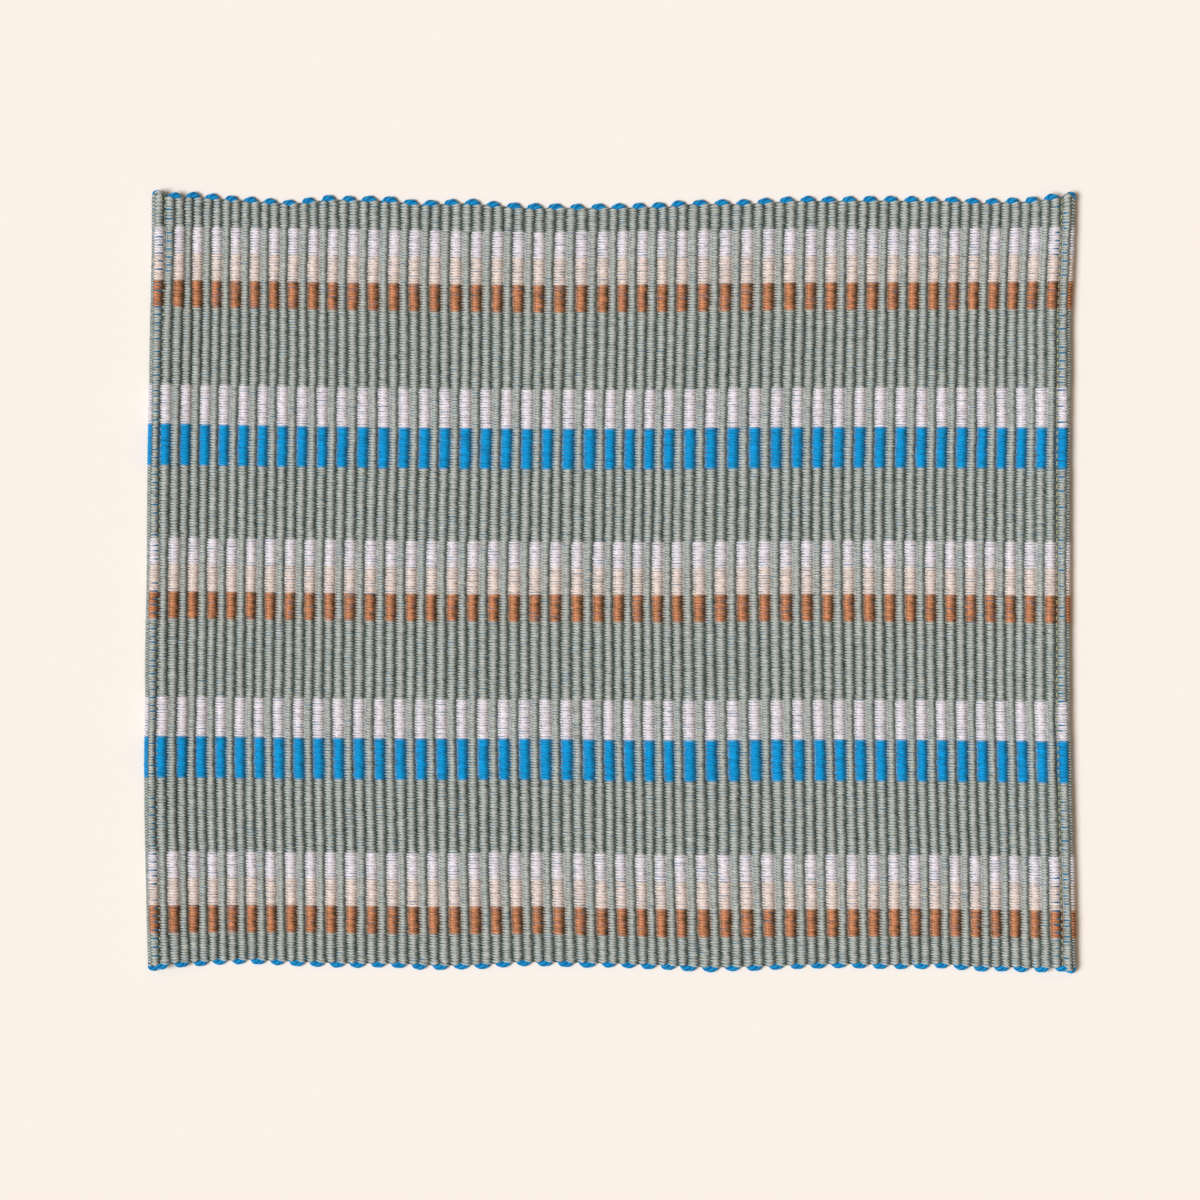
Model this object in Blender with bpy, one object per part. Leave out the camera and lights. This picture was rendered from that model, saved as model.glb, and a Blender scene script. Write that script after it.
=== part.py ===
"""A ribbed cotton placemat: one sheet of warp-faced cloth, hemmed at its left and right ends.

Each rib is a thick bundle of weft that runs from the near edge to the far edge, wrapped by fine warp
ends. The cloth lies flat on z = 0 with its face up and its longer side along X. At both ends it is folded
under, two ribs deep, and a line of sewing holds the fold. Along the near and far edges each weft bundle
turns back into the next one, so ribs end in pairs, in short round turns.
Sizes in the tables and constants are in millimetres, seen from above, with Y away from the viewer.
"""

import math

import bmesh
import bpy
import numpy as np
from mathutils import Vector

MM = 0.001

# The cloth
RIBS = 90  # ribs seen on the face, counted 1 to 90 from the left
PITCH = 5.03  # from one rib to the next
CREST = 3.0  # thickness of the cloth at a rib's middle
GROOVE = 1.8  # thickness where two ribs meet
ROUNDING = 0.12  # how much lower the face is at a rib's shoulder than at its crest
SHOULDER = 0.22  # place of a shoulder, as a share of the rib's width

# The hems
LAYER_GAP = 0.3  # between the cloth and the part folded under it
FOLD_REACH = 2.5  # from the hem rib's middle out to the rib that stands in the fold
FOLD_INSIDE = 0.85  # from that rib's middle in to the bottom of the fold
STITCH_SINK = 0.5  # how far the sewing pulls the face down in its groove
UPPER = 1.5 * CREST + LAYER_GAP  # height of the top layer's middle in a hem

# The near and far edges
TURN_REACH = 2.7  # how far a weft turn stands out past the ends of the warp-covered ribs
TURN_SHARE = 0.85  # half-width of a turn, in ribs
TURN_THICK = 1.8  # thickness at a turn's outermost point
TURN_THIN = 1.0  # thickness where two turns part
HEM_CORNER = 2.9  # half-width of the round corner at each end of a hem rib
UNDER_INSET = 1.0  # how much shorter the part folded under is, at each end
BODY_ROWS = (0.25, 0.5, 0.75)  # cross-sections between the two edges, as shares of the depth

CLOTH_COLOUR = (0.36, 0.41, 0.38)

# Middle of a rib at half depth: rib, x
RIB_PLACES = (
    (1, -225.1),
    (3, -215.1),
    (7, -196.3),
    (14, -162.9),
    (20, -133.8),
    (30, -83.0),
    (41, -27.0),
    (45, -5.6),
    (53, 34.4),
    (57, 55.9),
    (63, 87.7),
    (75, 148.7),
    (83, 188.1),
    (89, 217.5),
    (90, 223.3),
)

# Sideways bow of the ribs: y, then the shift in x at the left end, in the middle and at the right end
RIB_BOW = (
    (-193, 1.2, 2.4, 2.9),
    (-167, 0.3, 1.8, 2.4),
    (-140, -0.6, 1.0, 1.6),
    (-68, -1.0, 0.2, 0.5),
    (-12, 0.0, 0.0, 0.0),
    (66, 0.9, 0.7, 0.0),
    (140, 2.3, 2.2, 0.9),
    (193, 3.0, 2.6, 2.3),
)

# Outline of the far edge, over the tops of its turns and hem corners: x, y
FAR_EDGE = (
    (-221, 193.0),
    (-213, 191.5),
    (-204, 192.0),
    (-185, 190.5),
    (-158, 188.5),
    (-138, 190.7),
    (-109, 190.0),
    (-93, 188.0),
    (-73, 189.0),
    (-42, 186.5),
    (-5, 186.5),
    (25, 187.0),
    (40, 188.5),
    (64, 188.5),
    (89, 190.0),
    (133, 190.2),
    (168, 190.0),
    (185, 189.0),
    (207, 189.7),
    (226, 192.0),
)

# Outline of the near edge: x, y
NEAR_EDGE = (
    (-224, -191.5),
    (-212, -190.5),
    (-194, -189.5),
    (-175, -189.0),
    (-155, -190.0),
    (-129, -191.0),
    (-113, -190.7),
    (-84, -192.0),
    (-64, -191.5),
    (-44, -190.0),
    (-17, -190.5),
    (5, -191.0),
    (32, -192.0),
    (49, -193.0),
    (79, -192.0),
    (114, -191.0),
    (143, -191.7),
    (163, -191.0),
    (180, -192.5),
    (207, -193.0),
    (227, -192.5),
)

# The left hem, along the cloth from its cut end: rib, the face rib it is level with, how far beside it,
# height of its middle, and its direction in degrees (0 runs right, 90 up, 180 left)
HEM = (
    (-2, 2, 0.0, CREST / 2, 180),
    (-1, 1, 0.0, CREST / 2, 180),
    (0, 1, -FOLD_REACH, CREST + LAYER_GAP / 2, 90),
    (1, 1, 0.0, UPPER, 0),
    (2, 2, 0.0, UPPER, 0),
    (3, 3, 0.0, 4.1, -8),
    (4, 4, 0.0, 2.9, -13),
    (5, 5, 0.0, 2.0, -7),
    (6, 6, 0.0, 1.6, -2),
)
FIRST_RIB = HEM[0][0]
LAST_RIB = RIBS + 1 - FIRST_RIB
FOLD_RIBS = (0, RIBS + 1)


def column(table, index):
    return [row[index] for row in table]


def look_up(table, value, index=1):
    """Value of one column of a table, between its rows."""
    return float(np.interp(value, column(table, 0), column(table, index)))


def rib_x(rib, y):
    """Middle of a face rib at depth y, with the bow of the cloth."""
    x = look_up(RIB_PLACES, rib)
    ends = (RIB_PLACES[0][1], 0.0, RIB_PLACES[-1][1])
    bow = [look_up(RIB_BOW, y, index) for index in (1, 2, 3)]
    return x + float(np.interp(x, ends, bow))


def hem_row(rib):
    """Row of the hem table for a rib near either end, the right hem as the left one's mirror image."""
    for row_rib, level, beside, height, lean in HEM:
        if rib == row_rib:
            return level, beside, height, lean
        if rib == RIBS + 1 - row_rib:
            return RIBS + 1 - level, -beside, height, -lean
    return rib, 0.0, CREST / 2, 0


def rib_frame(rib, y):
    """Middle of a rib in x and z, its direction, the way its face looks, and its width."""
    level, beside, height, lean = hem_row(rib)
    middle = Vector((rib_x(level, y) + beside, height))
    along = Vector((math.cos(math.radians(lean)), math.sin(math.radians(lean))))
    face = Vector((-along.y, along.x))
    plain = len(HEM) + FIRST_RIB <= rib <= RIBS + 1 - len(HEM) - FIRST_RIB
    width = (rib_x(rib + 1, y) - rib_x(rib - 1, y)) / 2 if plain else PITCH
    return middle, along, face, width


def half_thickness(share, rounded):
    """Half the thickness of the cloth across a rib. The side that lies on the table is flat."""
    if share in (0, 1):
        return GROOVE / 2
    return CREST / 2 - (ROUNDING if rounded and share != 0.5 else 0.0)


def rib_points(rib, share, y, end_half):
    """Points on the face and on the back at a place across a rib. end_half thins an end section."""
    middle, along, face, width = rib_frame(rib, y)
    face_is_up = face.y > -0.5
    face_half = min(half_thickness(share, face_is_up), end_half)
    back_half = min(half_thickness(share, not face_is_up), end_half)
    centre = middle + along * (share - 0.5) * width
    back = centre - face * back_half
    if rib in FOLD_RIBS:
        back = middle - face * FOLD_INSIDE + along * (share - 0.5) * LAYER_GAP
    return centre + face * face_half, back


def station(rib, share, y, end_half=CREST):
    """Face and back points at one station, with the groove between two ribs midway between their sides."""
    face, back = rib_points(rib, share, y, end_half)
    if share == 0 and rib > FIRST_RIB:
        other_face, other_back = rib_points(rib - 1, 1, y, end_half)
        face = (face + other_face) / 2
        if rib - 1 in FOLD_RIBS:
            back = other_back
        elif rib not in FOLD_RIBS:
            back = (back + other_back) / 2
        if rib in (2, RIBS):
            face.y -= STITCH_SINK
    return face, back


def stations():
    """Every place along the cloth: grooves, shoulders and crests, from one cut end to the other."""
    places = []
    for rib in range(FIRST_RIB, LAST_RIB + 1):
        places += [(rib, share) for share in (0, SHOULDER, 0.5, 1 - SHOULDER)]
    return places + [(LAST_RIB, 1)]


def turn_place(rib, share, far):
    """Place across a pair of ribs that share a turn, from -1 to 1. Far pairs start with an even rib."""
    return (rib + share - (0 if far else 1)) % 2 - 1


def end_inset(rib, share, far, x, y):
    """How far the cloth stops short of the outline at one end of a rib."""
    across = abs(turn_place(rib, share, far)) / TURN_SHARE
    turn = TURN_REACH * min(1.0, across**2)
    left, right = rib + share <= 2, rib + share >= RIBS
    if not (left or right):
        return turn
    beside = min(abs(x - rib_x(1 if left else RIBS, y)), FOLD_REACH) / HEM_CORNER
    corner = TURN_REACH * beside**2.5
    under = rib < 0 or rib > RIBS + 1
    in_groove = rib + share in (2, RIBS)
    return max(turn, corner) if in_groove else corner + (UNDER_INSET if under else 0.0)


def end_thickness(rib, share, far):
    """Half the thickness of the cloth at its very edge."""
    across = min(1.0, abs(turn_place(rib, share, far)) / TURN_SHARE)
    return (TURN_THICK + (TURN_THIN - TURN_THICK) * across**2) / 2


def column_of_points(rib, share):
    """Face and back points of one station at every cross-section, from the near edge to the far edge."""
    edge_y = {False: NEAR_EDGE[0][1], True: FAR_EDGE[0][1]}
    ends, bases = {}, {}
    for far, side in ((False, -1), (True, 1)):
        face, back = station(rib, share, edge_y[far], end_thickness(rib, share, far))
        outline = look_up(FAR_EDGE if far else NEAR_EDGE, face.x)
        inset = end_inset(rib, share, far, face.x, edge_y[far])
        ends[far] = (outline - side * inset, face, back)
        under = UNDER_INSET if rib < 0 or rib > RIBS + 1 else 0.0
        base_y = outline - side * (TURN_REACH + 0.6 + under)
        bases[far] = (base_y, *station(rib, share, base_y))
    depth = [bases[False][0] + share_y * (bases[True][0] - bases[False][0]) for share_y in BODY_ROWS]
    body = [(y, *station(rib, share, y)) for y in depth]
    rows = [ends[False], bases[False], *body, bases[True], ends[True]]
    return [(Vector((f.x, y, f.y)), Vector((b.x, y, b.y))) for y, f, b in rows]


def build_mat():
    """One cap of quads across the cloth at the near edge, extruded section by section to the far edge."""
    columns = [column_of_points(rib, share) for rib, share in stations()]
    points = np.array([[[tuple(p) for p in pair] for pair in col] for col in columns])
    low, high = points.reshape(-1, 3).min(0), points.reshape(-1, 3).max(0)
    points[..., :2] -= (low[:2] + high[:2]) / 2
    points *= MM

    bm = bmesh.new()
    place = bm.verts.layers.int.new("place")
    pairs = []
    for index, col in enumerate(points):
        pair = [bm.verts.new(col[0][side]) for side in (0, 1)]
        for side in (0, 1):
            pair[side][place] = 2 * index + side
        pairs.append(pair)
    cap = [bm.faces.new((a[0], a[1], b[1], b[0])) for a, b in zip(pairs, pairs[1:])]
    for section in range(1, points.shape[1]):
        extruded = bmesh.ops.extrude_face_region(bm, geom=cap)["geom"]
        if section > 1:
            bmesh.ops.delete(bm, geom=cap, context="FACES")
        cap = [item for item in extruded if isinstance(item, bmesh.types.BMFace)]
        for vert in {v for face in cap for v in face.verts}:
            index, side = divmod(vert[place], 2)
            vert.co = points[index, section, side]
    bm.verts.layers.int.remove(place)
    bmesh.ops.triangulate(bm, faces=bm.faces[:])
    bmesh.ops.recalc_face_normals(bm, faces=bm.faces[:])
    mesh = bpy.data.meshes.new("mat")
    bm.to_mesh(mesh)
    bm.free()
    mesh.shade_smooth()
    return mesh


def cloth_material():
    material = bpy.data.materials.new("ribbed cotton")
    material.use_nodes = True
    shader = material.node_tree.nodes["Principled BSDF"]
    shader.inputs["Base Color"].default_value = (*CLOTH_COLOUR, 1.0)
    shader.inputs["Roughness"].default_value = 0.85
    shader.inputs["Metallic"].default_value = 0.0
    return material


def main():
    for old in list(bpy.data.objects):
        bpy.data.objects.remove(old, do_unlink=True)
    mat = bpy.data.objects.new("mat", build_mat())
    mat.data.materials.append(cloth_material())
    bpy.context.collection.objects.link(mat)


main()
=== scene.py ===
"""Ribbed cotton placemat: the woven face and back, the weft turns along both long edges, the sewn hems, and a
plain stage. Sizes in the tables are in millimetres, seen from above, with Y away from the viewer.
"""

import math

import bpy
import numpy as np
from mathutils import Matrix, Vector


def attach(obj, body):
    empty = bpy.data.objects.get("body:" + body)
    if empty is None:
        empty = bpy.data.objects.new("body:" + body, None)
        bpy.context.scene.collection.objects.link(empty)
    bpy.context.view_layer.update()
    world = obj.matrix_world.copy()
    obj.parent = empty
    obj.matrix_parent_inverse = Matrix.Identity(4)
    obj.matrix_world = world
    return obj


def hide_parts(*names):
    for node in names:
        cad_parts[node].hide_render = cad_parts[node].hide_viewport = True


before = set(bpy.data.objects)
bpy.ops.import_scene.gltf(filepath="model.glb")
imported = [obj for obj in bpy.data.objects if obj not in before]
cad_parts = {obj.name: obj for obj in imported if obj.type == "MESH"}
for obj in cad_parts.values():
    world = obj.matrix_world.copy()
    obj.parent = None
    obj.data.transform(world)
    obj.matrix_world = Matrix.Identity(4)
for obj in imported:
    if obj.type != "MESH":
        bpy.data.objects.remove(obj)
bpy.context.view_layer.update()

bl_info = {
    "name": "Ribbed Placemat",
    "version": (1, 0, 0),
    "blender": (4, 5, 0),
    "location": "3D View > Sidebar > Placemat",
    "description": "Builds a warp-faced ribbed cotton placemat, thread by thread",
    "category": "Add Mesh",
}

MM = 0.001

# -----------------------------------------------------------------------------
# The cloth's layout. It is the solid's own, apart from the small waves and the rib in the right fold.
# -----------------------------------------------------------------------------

RIBS = 90  # ribs seen on the face, counted 1 to 90 from the left
PITCH = 5.03  # from one rib to the next
CREST = 3.0  # thickness of the cloth at a rib's middle
LAYER_GAP = 0.3  # between the cloth and the part folded under it
FOLD_REACH = 2.5  # from the hem rib's middle out to the rib that stands in the fold
FOLD_INSIDE = 0.85  # from that rib's middle in to the bottom of the fold
SEAM_SINK = {1: 0.5, 2: 0.6, RIBS: 1.0, RIBS + 1: 0.5}  # how far a hem pulls a rib's left groove down
UPPER = 1.5 * CREST + LAYER_GAP  # height of the top layer's middle in a hem
TURN_REACH = 2.7  # how far a weft turn stands out past the ends of the ribs
HEM_CORNER = 2.9  # half-width of the round corner at each end of a hem rib
UNDER_INSET = 1.0  # how much shorter the part folded under is, at each end

# How far the hem rib's own end stops short of the outline: right hem, far edge, distance
HEM_CUT = {(False, True): 0.0, (False, False): 1.9, (True, True): 0.3, (True, False): 0.4}

# Middle of a rib at half depth: rib, x
RIB_PLACES = (
    (1, -225.1), (3, -215.1), (7, -196.3), (14, -162.8), (20, -133.4), (30, -82.8), (41, -26.6), (45, -5.3),
    (53, 33.8), (57, 55.4), (63, 87.4), (75, 148.7), (83, 188.3), (89, 217.5), (90, 223.3),
)  # fmt: skip

# Sideways bow of the ribs: y, then the shift in x at the left end, in the middle and at the right end
RIB_BOW = (
    (-193, 1.2, 2.4, 2.9), (-167, 0.3, 1.8, 2.4), (-140, -0.6, 1.0, 1.6), (-68, -1.0, 0.2, 0.5),
    (-12, 0.0, 0.0, 0.0), (66, 0.9, 0.7, 0.0), (140, 2.3, 2.2, 0.9), (193, 3.0, 2.6, 2.3),
)  # fmt: skip

# Smaller waves, where the ribs are pushed sideways: x and y of the middle, reach in x and in y, how far
WAVES = (
    (-95, 70, 65, 25, 0.75), (45, 10, 38, 45, -0.55), (-128, -137, 45, 24, 0.65), (165, -141, 55, 20, 0.75),
    (195, 178, 32, 22, 0.7), (185, 76, 30, 22, 0.55), (-216, -64, 28, 14, 0.6), (-198, -140, 32, 18, 0.6),
    (-120, 148, 70, 26, -0.75), (120, 38, 40, 26, -0.55), (100, -100, 30, 62, 0.55), (208, -48, 22, 26, -0.55),
    (216, 128, 14, 16, -0.5), (70, 92, 45, 26, -0.35), (-140, 186, 60, 14, -0.6), (-130, -184, 55, 14, -0.6),
    (-219, 170, 5, 30, 0.9),
)  # fmt: skip

# Outline of the far and near edges, over the tops of their turns and hem corners: x, y
FAR_EDGE = (
    (-221, 193.0), (-213, 191.5), (-204, 192.0), (-185, 190.5), (-158, 188.5), (-138, 190.7), (-109, 190.0),
    (-93, 188.0), (-73, 189.0), (-42, 186.5), (-5, 186.5), (25, 187.0), (40, 188.5), (64, 188.5), (89, 190.0),
    (133, 190.2), (168, 190.0), (185, 189.0), (207, 189.7), (226, 192.0),
)  # fmt: skip
NEAR_EDGE = (
    (-224, -191.5), (-212, -190.5), (-194, -189.5), (-175, -189.0), (-155, -190.0), (-129, -191.0),
    (-113, -190.7), (-84, -192.0), (-64, -191.5), (-44, -190.0), (-17, -190.5), (5, -191.0), (32, -192.0),
    (49, -193.0), (79, -192.0), (114, -191.0), (143, -191.7), (163, -191.0), (180, -192.5), (207, -193.0),
    (227, -192.5),
)  # fmt: skip

# The left hem of the visible cloth, from its cut end: rib, the face rib it is level with, how far beside it,
# height of its middle, and its direction in degrees (0 runs right, 90 up, 180 left)
HEM = (
    (-2, 2, 0.0, CREST / 2, 180), (-1, 1, 0.0, CREST / 2, 180), (0, 1, -2.7, 3.3, 68),
    (1, 1, 0.0, UPPER, 0), (2, 2, 0.0, UPPER, 0), (3, 3, 0.0, 4.1, -8), (4, 4, 0.0, 2.9, -13),
    (5, 5, 0.0, 2.0, -7), (6, 6, 0.0, 1.6, -2),
)  # fmt: skip
RIGHT_FOLD = (RIBS, 2.5, 3.6, -24)  # the same for the rib in the right fold, which lies further over
RIGHT_FOLD_WIDTH = 3.6
FIRST_RIB = HEM[0][0]
LAST_RIB = RIBS + 1 - FIRST_RIB

# -----------------------------------------------------------------------------
# The threading: two sheds of warp ends, counted from the far edge. Shed A lies on top of the odd ribs and
# shed B on top of the even ones, so a dyed group of ends in one shed shows on every other rib.
# -----------------------------------------------------------------------------

ENDS = 283  # ends in each shed
END_PITCH = 1.33  # from one end of a shed to the next
REPEAT = 116  # ends from one group of stripes to the next
DYES = ("white", "peach", "rust", "blue")
DYED_ENDS = (  # shed, dye, first end, end after the last, in the first group of each
    ("A", "white", 10, 20), ("A", "peach", 20, 30), ("A", "rust", 30, 40), ("B", "white", 69, 84),
    ("B", "blue", 84, 99),
)  # fmt: skip

# Where an end lies: its number, its mean y, then the shift in y at each place of LINE_X
LINE_X = (-215, -158, -98, -37, 24, 88, 149, 208)
END_LINES = (
    (9.75, 174.1, (1.1, 0.4, -0.5, -1.5, -0.7, 0.3, 0.2, 0.7)),
    (39.75, 134.0, (1.4, 0.5, -0.5, -1.2, -0.9, 0.0, 0.3, 0.4)),
    (84.25, 76.2, (1.6, 0.5, -0.3, -0.8, -0.8, 0.0, 0.1, -0.3)),
    (125.75, 20.3, (1.4, 0.7, -0.2, -0.4, -0.7, -0.1, 0.1, -0.7)),
    (155.75, -19.5, (1.5, 0.6, 0.0, -0.3, -0.6, 0.0, -0.3, -0.9)),
    (200.25, -77.8, (1.5, 0.7, 0.2, 0.1, -0.8, -0.3, -0.4, -1.0)),
    (241.75, -134.2, (1.3, 0.8, 0.3, 0.6, -0.8, -0.4, -0.6, -1.3)),
    (271.75, -174.5, (1.3, 1.4, 0.5, 0.6, -1.0, -1.0, -0.5, -1.3)),
)

# Places across a rib, and there: how deep the gap between two ends is in mm, and how much painted shade,
# multiplied into the colour, lies in such a gap and on the ends: most in the grooves and on a rib's right
# side, which faces away from the key light
FACE_PLACES = (0.0, 0.1, 0.25, 0.5, 0.75, 0.9)
GAP_DEPTH = {0.0: 0.0, 0.1: 0.42, 0.25: 0.24, 0.5: 0.16, 0.75: 0.24, 0.9: 0.42}
GAP_SHADE = {0.0: 0.95, 0.1: 1.0, 0.25: 0.55, 0.5: 0.3, 0.75: 0.75, 0.9: 1.0}
END_SHADE = {0.0: 0.9, 0.1: 0.22, 0.25: 0.0, 0.5: 0.07, 0.75: 0.48, 0.9: 0.82}
# How much of that painted shade dyed ribs are spared, as their ends stand closer: in the gaps and on the
# ends for each dye, and in the grooves beside them
SPARED_GAPS, SPARED_ENDS = (0.5, 0.5, 0.35, 0.5), (0.95, 0.95, 0.0, 0.05)
SPARED_GROOVE = 0.68
RUST_SHADE = {0.0: 0.45, 0.1: 0.28, 0.25: 0.07, 0.5: 0.33, 0.75: 0.34, 0.9: 0.26}  # more painted shade on rust ends, in the groove and from the crest to the right side
# How much of the other shed's colour lies in a gap there: on pale ribs, and the share of it on any rib
OTHER_SHED = {0.1: 0.3, 0.9: 0.5}
OTHER_SHED_LEAST = 0.3
FOLD_GAP = (0.5, 0.9)  # depth of the gaps and their painted shade on the rib in a fold, whose ends spread apart

# Where the blue weft shows between the ends: rows from one patch to the next, the share of the gaps at the
# middle of a patch, how fast that falls off, and the share on white or peach ribs
SHOW_ROWS, SHOW_SHARE, SHOW_FALL, PALE_SHOW = 24, 1.05, 1.6, 0.55
SHOW_STRENGTH, SHOW_REACH = (0.48, 0.66), (0.15, 0.6)  # how strongly, and how far across the rib
SHOW_SINK, SHOW_FLAT = 1.5, 0.65  # how deep the cloth sinks per unit of strength above the second value

# Unevenness of the hand: of the ribs' sides in ribs (slow, quick, from row to row), of the crests in mm, of
# single ends in mm (height, y), and of the painted shade (from point to point, from end to end)
SIDE_SLOW, SIDE_QUICK, SIDE_ROWS = 0.03, 0.02, 0.025
CREST_WAVE, END_LIFT, END_DRIFT = 0.07, 0.06, 0.08
MOTTLE, MOTTLE_ENDS = 0.13, 0.05

ARCH_SHARE = 0.98  # how far round its bundle of weft the top of a rib reaches
SWELL_LIFT = 0.08  # how much higher dyed ribs stand than their neighbours
# From the groove under a weft turn to the next groove, in ribs: how much further back the warp ends stop
# there than at a rib's crest
RIB_END = ((0.0, 0.6), (0.25, -0.2), (0.5, -0.6), (0.85, -0.7), (1.0, 0.0))
CLOSE_OUT = (0.42, 0.3)  # how far the two closing rows stand out past a rib's last end
CLOSE_HEIGHT = (0.0, 0.6)  # and their share of its height
CLOSE_DROP = 0.15  # how far the outer of them goes down past the middle of the cloth
FLOOR_CLEAR = 0.02  # least height of the cloth over the table
PANELS = 4  # pieces that the face is made in, so that each stays under 200,000 triangles

BACK_PLACES = (0.0, 0.18, 0.5, 0.82)  # places across a rib of the back
BACK_ROWS = 168  # rows of the back, besides those at the edges of the stripes
BACK_OUT, BACK_HEIGHT = (0.36, 0.26), (-0.1, 0.6)  # its closing rows, as on the face

# Slits that the needle opens beside the seams, where the blue weft shows: rib, side of the rib at the
# seam, first and last end, the longest slit as a share of the rib's width, and the share that opens
SLITS = (
    (2, 0, 4, 30, 1.3, 0.9), (1, 1, 14, 281, 1.05, 0.85), (90, 0, 5, 281, 0.9, 0.7), (89, 1, 3, 24, 0.9, 0.6),
    (89, 1, 250, 281, 0.9, 0.9),
)  # fmt: skip
SLIT_SPREAD = 1.2  # ends over which the parting of a slit dies away

# -----------------------------------------------------------------------------
# The weft turns and the seams
# -----------------------------------------------------------------------------

# How far a weft turn lies beside the middle of its two ribs: x, at the far edge and at the near edge
TURN_SHIFT = ((-222, 0.0, 0.0), (-206, -0.6, -0.2), (-60, -0.6, -0.15), (60, 0.1, -0.1), (230, 0.2, -0.15))
# At the far edge and at the near one: how far a turn stays back, and its width, as a share of the usual
TURN_BACK = {True: (0.55, 0.95), False: (-0.2, 0.15)}
TURN_WIDTH = {True: (0.95, 1.2), False: (1.15, 1.35)}
TURN_SWEEP, TURN_SQUARE = 1.12, 0.75  # half-circles that it runs over, over 1, and how square it is, under 1
TURN_DEPTH, TURN_SINK = 0.9, 0.1  # how far back its ends go, and how far it lies below the middle of the cloth
PLY_RELIEF, TURN_TAPER, TURN_SWELL = 0.09, 0.12, 0.85  # of its thickness: plies, thinner ends, fuller inside
TURN_RINGS, TURN_POINTS = 15, 16  # rings of points in one turn, and points in a ring

NEEDLE_STEP = 3.8  # from one needle hole to the next
STITCHES = 100  # stitches in each hem
STITCH_RINGS, STITCH_POINTS = 7, 8  # rings of points in one stitch, and points in a ring
STITCH_END = 0.3  # angle from a stitch's tip to its first ring, in radians
STITCH_SLANT, STITCH_UNEVEN = 0.06, 0.05  # mean slant of a stitch, and how much it varies
STITCH_BROADEN = 0.5  # how much thicker the thread spreads at the ends of a stitch
THREAD_SINK = {2: 0.6, RIBS: 0.0}  # how much deeper the thread lies in the groove of a hem
UNDER_CLEAR = 0.05  # least height of the thread's points under the hem

# -----------------------------------------------------------------------------
# The picture
# -----------------------------------------------------------------------------

VIEW_X, VIEW_Y, VIEW_WIDTH = -4.94, -9.13, 592.2  # its middle on the floor, and its width there
SENSOR = 36.0
FLOOR_SIZE = 6.0  # metres
KEY_PLACE = (-1.0, -0.3, 1.5)  # metres; only where its symbol stands
KEY_FROM = (-0.68, -0.15, 1.0)  # direction that the key light comes from
KEY_SPREAD = 32.0  # degrees that it spans, for soft shadows


def column(table, index):
    return [row[index] for row in table]


def look_up(table, value, index=1):
    return np.interp(value, column(table, 0), column(table, index))


def rib_x(rib, y):
    """Middle of a face rib at depths y, with the bow of the cloth."""
    x = float(look_up(RIB_PLACES, rib))
    ends = (RIB_PLACES[0][1], 0.0, RIB_PLACES[-1][1])
    bow = sum(np.interp(x, ends, np.eye(3)[i]) * look_up(RIB_BOW, y, i + 1) for i in range(3))
    waves = [push * np.exp(-(((x - u) / wide) ** 2) - ((y - v) / deep) ** 2) for u, v, wide, deep, push in WAVES]
    return x + bow + sum(waves)


def hem_row(rib):
    """Row of the hem table for a rib near either end, the right hem as the left one's mirror image."""
    if rib == RIBS + 1:
        return RIGHT_FOLD
    for row_rib, level, beside, height, lean in HEM:
        if rib == row_rib:
            return level, beside, height, lean
        if rib == RIBS + 1 - row_rib:
            return RIBS + 1 - level, -beside, height, -lean
    return rib, 0.0, CREST / 2, 0


def on_rib(rib, across, height, y):
    """x and z of points on a rib: across runs from 0 to 1 over its width, and height is measured from the
    middle of the cloth, towards its face."""
    level, beside, middle_z, lean = hem_row(rib)
    plain = len(HEM) + FIRST_RIB <= rib <= RIBS + 1 - len(HEM) - FIRST_RIB
    width = (rib_x(rib + 1, y) - rib_x(rib - 1, y)) / 2 if plain else PITCH
    width = RIGHT_FOLD_WIDTH if rib == RIBS + 1 else width
    cos, sin = math.cos(math.radians(lean)), math.sin(math.radians(lean))
    offset = (across - 0.5) * width
    x = rib_x(level, y) + beside + cos * offset - sin * height
    return x, middle_z + sin * offset + cos * height


def on_groove(rib, shift, height, y):
    """x and z of points at a rib's left groove, midway between what its two ribs give."""
    sides = [(rib, shift)] if rib <= LAST_RIB else []
    sides += [(rib - 1, 1.0 + shift)] if rib > FIRST_RIB else []
    found = [on_rib(side, across, height, y) for side, across in sides]
    return sum(x for x, z in found) / len(found), sum(z for x, z in found) / len(found)


def place_x(rib, place, y=0.0):
    """x of a place across a rib at half depth."""
    level, beside, _, lean = hem_row(rib)
    return float(rib_x(level, y)) + beside + math.cos(math.radians(lean)) * (place - 0.5) * PITCH


def end_inset(rib, place, far):
    """How far the warp ends stop short of the outline at one end of a rib."""
    along = rib + place
    if 2 <= along <= RIBS:
        return TURN_REACH + look_up(RIB_END, abs((along + (not far)) % 2 - 1))
    middle = place_x(1 if along < 2 else RIBS, 0.5)
    beside = min(abs(place_x(rib, place) - middle), FOLD_REACH) / HEM_CORNER
    under = rib < 0 or rib > RIBS + 1
    cut = HEM_CUT[(along > RIBS, far)]
    return max(TURN_REACH * beside**2.5, cut) + (UNDER_INSET if under else 0.0)


def end_y(v, rib, place):
    """y of warp ends, by their number v, where they cross one place on a rib."""
    x = place_x(rib, place)
    rows = [(row[0], row[1] + float(np.interp(x, LINE_X, row[2]))) for row in END_LINES]
    far, near = (float(look_up(table, place_x(rib, place, table[0][1]))) for table in (FAR_EDGE, NEAR_EDGE))
    rows = [(0, far - TURN_REACH), *rows, (ENDS, near + TURN_REACH)]
    y = np.interp(v, column(rows, 0), column(rows, 1))
    spread = 2.5 if 2 <= rib + place <= RIBS else 7.0
    for far_side, side, count in ((True, 1, v), (False, -1, ENDS - v)):
        more = TURN_REACH - end_inset(rib, place, far_side)
        y = y + side * more * np.clip(1 - count / spread, 0, 1) ** 2
    return y


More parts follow.
